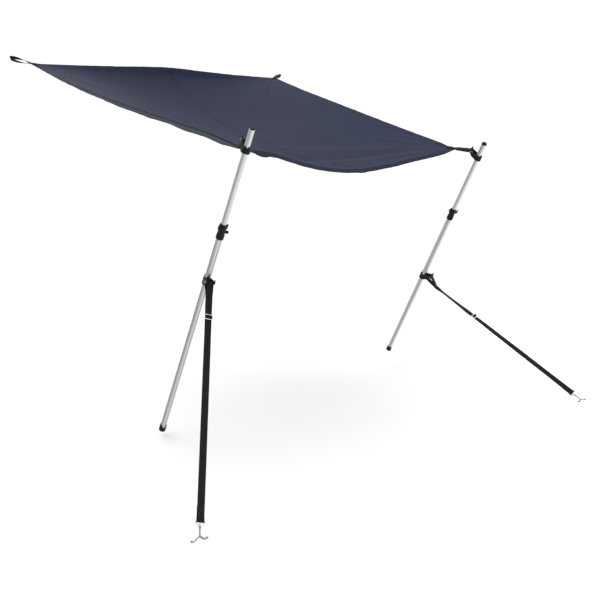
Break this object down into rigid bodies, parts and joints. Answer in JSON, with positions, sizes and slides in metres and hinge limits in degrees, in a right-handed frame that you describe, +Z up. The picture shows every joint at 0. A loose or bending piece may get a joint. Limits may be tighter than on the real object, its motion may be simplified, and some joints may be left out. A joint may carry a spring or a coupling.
{
  "type": "t-top canopy with two support poles",
  "caption": "Navy fabric boat canopy on two telescopic aluminium poles, with black clamps, tie-down straps, hooks and corner loops.",
  "frame": {"origin": "middle of the cloth's rear hem, where it meets the edge of the hard top", "axes": "+Z up, +Y from the front corners with the poles back to the rear hem, +X across the canopy"},
  "size_m": [1.9664, 2.0929, 1.5683],
  "materials": {
    "cloth": "matte plain weave",
    "webbing": "woven, slightly ribbed",
    "tube": "satin anodised",
    "fittings": "matte moulded",
    "steel": "satin stainless"
  },
  "bodies": {
    "root": {"canopy_cloth": "cloth", "rear_loop_left": "webbing", "rear_loop_right": "webbing", "corner_strap_left": "webbing", "corner_strap_right": "webbing", "tie_strap_left": "webbing", "tie_strap_right": "webbing", "upper_tube_left": "tube", "upper_tube_right": "tube", "lower_tube_left": "tube", "lower_tube_right": "tube", "top_plug_left": "fittings", "top_cap_right": "fittings", "foot_cap_left": "fittings", "foot_cap_right": "fittings", "mid_clamp_left": "fittings", "mid_clamp_right": "fittings", "clamp_knob_left": "fittings", "clamp_knob_right": "fittings", "clamp_lever_left": "fittings", "clamp_lever_right": "fittings", "top_collar_left": "fittings", "top_collar_right": "fittings", "strap_slide_left": "fittings", "strap_slide_right": "fittings", "top_pin_left": "steel", "top_pin_right": "steel", "strap_slide_pin_left": "steel", "strap_slide_pin_right": "steel", "slider_left": "steel", "slider_right": "steel", "strap_ring_left": "steel", "strap_ring_right": "steel", "hook_left": "steel", "hook_right": "steel", "hook_latch_left": "steel", "hook_latch_right": "steel"}
  },
  "joints": []
}
